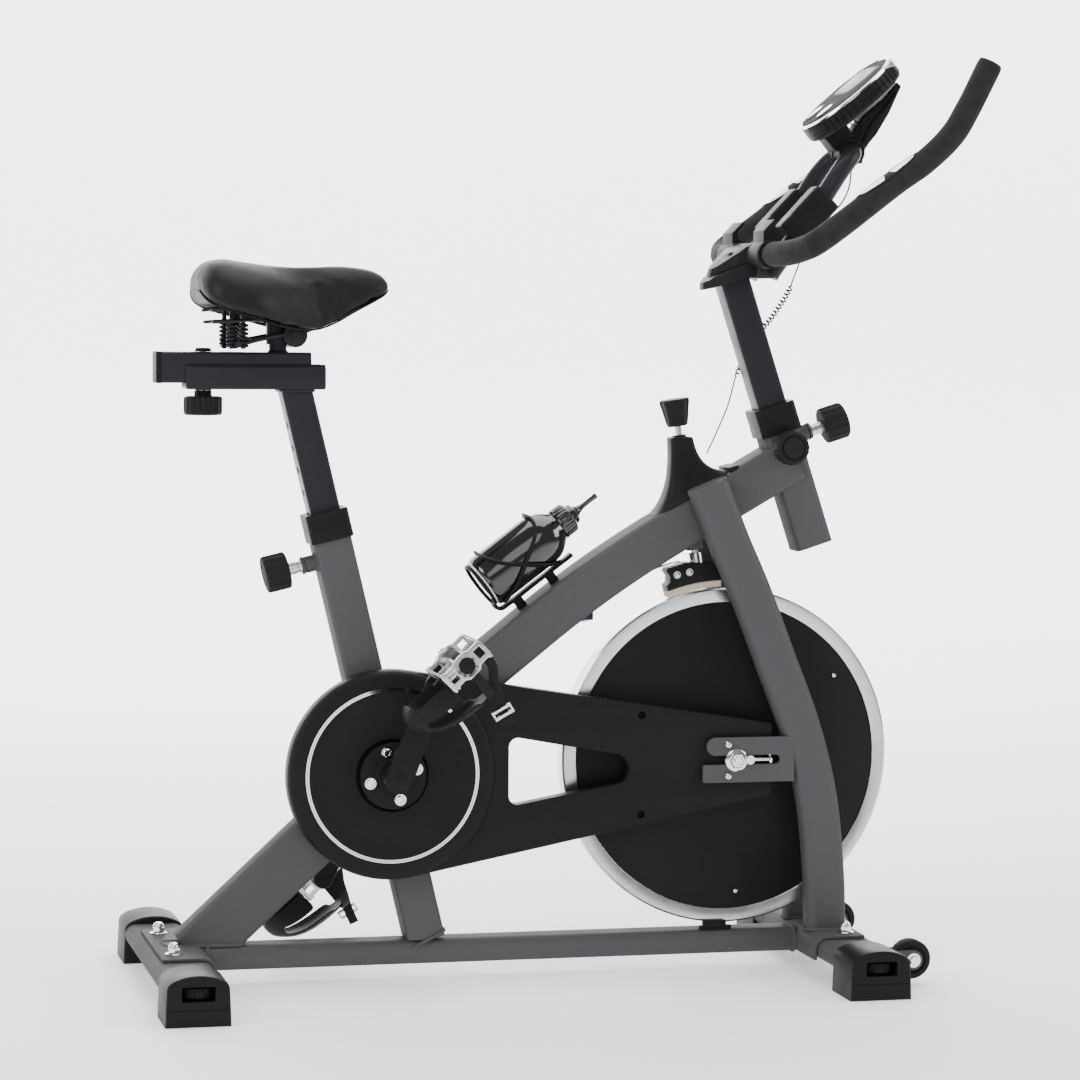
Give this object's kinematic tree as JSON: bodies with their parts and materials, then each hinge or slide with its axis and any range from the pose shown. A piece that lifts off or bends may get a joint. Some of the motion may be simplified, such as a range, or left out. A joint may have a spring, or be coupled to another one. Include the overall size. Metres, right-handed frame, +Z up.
{
  "type": "indoor spin bike",
  "caption": "Indoor cycling bike with a front flywheel, belt drive behind a black cover, friction pad brake, sliding seat and handlebar posts, caged pedals, console and bottle.",
  "frame": {"origin": "bottom centre of the bounding box, on the floor", "axes": "+X forwards, +Y to the rider's left, +Z up"},
  "size_m": [1.0867, 0.52, 1.2243],
  "materials": {
    "frame_paint": "satin metallic gunmetal",
    "black_coat": "fine textured black powder coat",
    "cover_plastic": "fine grained matt black",
    "black_plastic": "moulded matt black",
    "rubber": "matt black",
    "foam": "soft matt foam",
    "saddle_vinyl": "satin vinyl",
    "alloy": "cast and polished",
    "steel": "turned and polished",
    "chrome": "bright plated",
    "bottle_gloss": "high gloss black",
    "felt": "pressed wool felt"
  },
  "bodies": {
    "frame": {"base_beam": "frame_paint", "seat_tube": "frame_paint", "main_tube": "frame_paint", "fork_leg_right": "frame_paint", "fork_leg_left": "frame_paint", "rear_stabiliser": "frame_paint", "front_stabiliser": "frame_paint", "rear_cap_right": "black_plastic", "rear_cap_left": "black_plastic", "front_cap_right": "black_plastic", "front_cap_left": "black_plastic", "flywheel_axle": "chrome", "belt_cover": "cover_plastic", "drive_belt": "rubber", "brake_cover": "black_plastic", "leaf_spring": "black_coat", "seat_collar": "black_plastic", "head_collar": "black_plastic", "bottle_cage": "black_coat", "lead_low": "rubber", "lead_curl": "rubber"},
    "rear_leveller_right": {"rear_leveller_right": "rubber"},
    "rear_leveller_left": {"rear_leveller_left": "rubber"},
    "front_leveller_right": {"front_leveller_right": "rubber"},
    "front_leveller_left": {"front_leveller_left": "rubber"},
    "transport_wheel_right": {"transport_wheel_right": "rubber"},
    "transport_wheel_left": {"transport_wheel_left": "rubber"},
    "flywheel": {"flywheel": "steel", "flywheel_disc_right": "black_plastic", "flywheel_disc_left": "black_plastic"},
    "crankset": {"crank_pulley": "steel", "crank_right": "black_coat", "crank_left": "black_coat"},
    "pedal_right": {"pedal_right": "alloy", "toe_clip_right": "black_plastic"},
    "pedal_left": {"pedal_left": "alloy", "toe_clip_left": "black_plastic"},
    "brake_knob": {"brake_knob": "black_plastic"},
    "brake_shoe": {"pad_carrier": "steel", "brake_pad": "felt"},
    "seat_post": {"seat_post": "black_coat", "saddle_rail": "black_coat", "rail_liner": "black_plastic"},
    "saddle": {"slider": "black_coat", "saddle_frame": "black_coat", "saddle": "saddle_vinyl"},
    "slider_knob": {"slider_knob": "black_plastic"},
    "seat_pin": {"seat_pin_knob": "rubber"},
    "handlebar": {"handlebar_post": "black_coat", "handlebar": "black_coat", "grip_right": "foam", "grip_left": "foam", "clamp_cover": "black_plastic", "arm_sleeve_right": "black_plastic", "arm_sleeve_left": "black_plastic", "console": "black_plastic", "lead_top": "rubber"},
    "bar_pin": {"bar_pin_knob": "rubber"},
    "side_knob": {"side_knob": "rubber"},
    "bottle": {"bottle": "bottle_gloss"}
  },
  "joints": [
    {"name": "rear_leveller_right_turn", "type": "hinge", "parent": "frame", "child": "rear_leveller_right", "pos_m": [-0.50235, -0.238, 0.041], "axis": [0, 0, 1], "range_deg": [-720, 720]},
    {"name": "rear_leveller_left_turn", "type": "hinge", "parent": "frame", "child": "rear_leveller_left", "pos_m": [-0.50235, 0.238, 0.041], "axis": [0, 0, 1], "range_deg": [-720, 720]},
    {"name": "front_leveller_right_turn", "type": "hinge", "parent": "frame", "child": "front_leveller_right", "pos_m": [0.37965, -0.238, 0.041], "axis": [0, 0, 1], "range_deg": [-720, 720]},
    {"name": "front_leveller_left_turn", "type": "hinge", "parent": "frame", "child": "front_leveller_left", "pos_m": [0.37965, 0.238, 0.041], "axis": [0, 0, 1], "range_deg": [-720, 720]},
    {"name": "transport_wheel_right_spin", "type": "hinge", "parent": "frame", "child": "transport_wheel_right", "pos_m": [0.45365, -0.156, 0.034], "axis": [0, 1, 0], "continuous": true},
    {"name": "transport_wheel_left_spin", "type": "hinge", "parent": "frame", "child": "transport_wheel_left", "pos_m": [0.45365, 0.156, 0.034], "axis": [0, 1, 0], "continuous": true},
    {"name": "flywheel_spin", "type": "hinge", "parent": "frame", "child": "flywheel", "pos_m": [0.23965, 0, 0.29], "axis": [0, 1, 0], "continuous": true},
    {"name": "crank_spin", "type": "hinge", "parent": "frame", "child": "crankset", "pos_m": [-0.22235, 0, 0.279], "axis": [0, 1, 0], "continuous": true},
    {"name": "pedal_right_spin", "type": "hinge", "parent": "crankset", "child": "pedal_right", "pos_m": [-0.15867, -0.167, 0.43662], "axis": [0, 1, 0], "continuous": true},
    {"name": "pedal_left_spin", "type": "hinge", "parent": "crankset", "child": "pedal_left", "pos_m": [-0.28603, 0.167, 0.12138], "axis": [0, 1, 0], "continuous": true},
    {"name": "brake_knob_turn", "type": "hinge", "parent": "frame", "child": "brake_knob", "pos_m": [0.16965, 0, 0.748], "axis": [0.1511, 0, -0.9885], "range_deg": [-720, 200]},
    {"name": "pad_feed", "type": "slide", "parent": "frame", "child": "brake_shoe", "axis": [0.1511, 0, -0.9885], "range_m": [-0.0025, 0.00069]},
    {"name": "seat_height", "type": "slide", "parent": "frame", "child": "seat_post", "axis": [-0.2351, 0, 0.972], "range_m": [-0.13, 0.08]},
    {"name": "seat_fore_aft", "type": "slide", "parent": "seat_post", "child": "saddle", "axis": [1, 0, 0], "range_m": [-0.05, 0.02]},
    {"name": "slider_knob_turn", "type": "hinge", "parent": "seat_post", "child": "slider_knob", "pos_m": [-0.46235, 0, 0.757], "axis": [0, 0, 1], "range_deg": [-720, 0]},
    {"name": "seat_pin_pull", "type": "slide", "parent": "frame", "child": "seat_pin", "axis": [-0.972, 0, -0.2351], "range_m": [0, 0.012], "stiffness_N_per_m": 400, "springref_m": -0.01},
    {"name": "handlebar_height", "type": "slide", "parent": "frame", "child": "handlebar", "axis": [-0.309, 0, 0.9511], "range_m": [-0.07, 0.05], "deforming": ["lead_curl"]},
    {"name": "bar_pin_pull", "type": "slide", "parent": "frame", "child": "bar_pin", "axis": [0.9511, 0, 0.309], "range_m": [0, 0.012], "stiffness_N_per_m": 400, "springref_m": -0.01},
    {"name": "side_knob_turn", "type": "hinge", "parent": "frame", "child": "side_knob", "pos_m": [0.31685, -0.048, 0.703], "axis": [0, 1, 0], "range_deg": [0, 720]},
    {"name": "bottle_lift", "type": "slide", "parent": "frame", "child": "bottle", "axis": [0.7965, 0, 0.6046], "range_m": [0, 0.09]}
  ],
  "couplings": [
    {"joint": "crank_spin", "follows": "flywheel_spin", "ratio": 0.2692},
    {"joint": "brake_knob_turn", "follows": "pad_feed", "rad_per_m": 5000}
  ]
}
